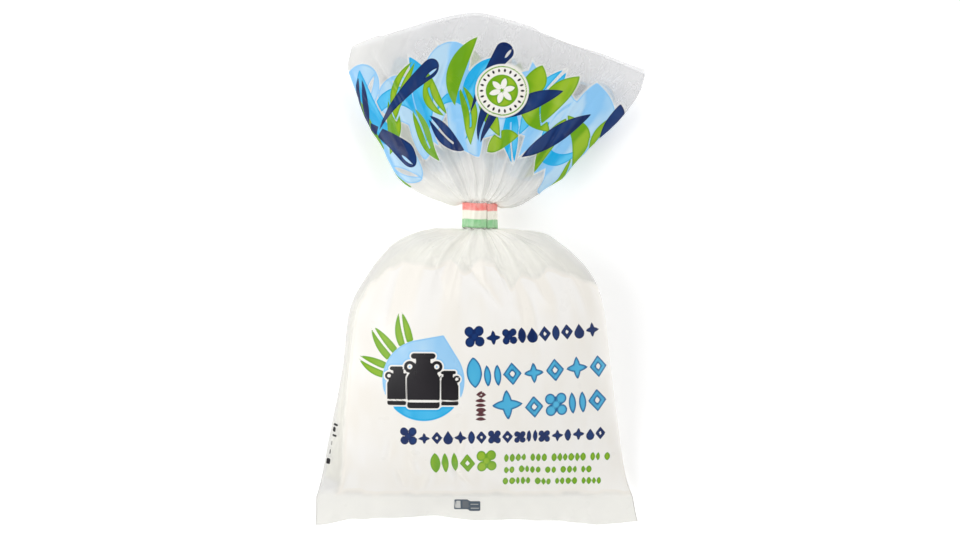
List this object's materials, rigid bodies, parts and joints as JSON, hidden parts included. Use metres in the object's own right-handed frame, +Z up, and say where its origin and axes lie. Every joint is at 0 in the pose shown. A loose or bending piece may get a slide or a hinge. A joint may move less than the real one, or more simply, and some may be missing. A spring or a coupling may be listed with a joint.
{
  "type": "tied film bag of mozzarella in brine",
  "caption": "Translucent film bag of mozzarella in brine, heat sealed across the bottom, gathered and taped at the neck with its open top fanned out, lying on its back.",
  "frame": {"origin": "under the middle of the bag's outline, on the surface it lies on", "axes": "+Y from the bottom seal to the open top, +Z up through the printed front, +X to the right of someone who reads the front"},
  "size_m": [0.1618, 0.2498, 0.0493],
  "materials": {
    "film": "frosted translucent film with a satin sheen",
    "print": "white and coloured print on film, satin",
    "contents": "milky brine and cheese, wet",
    "tape": "striped adhesive tape, slight gloss"
  },
  "bodies": {
    "root": {"bag": "film", "tie_tape": "tape"}
  },
  "joints": []
}
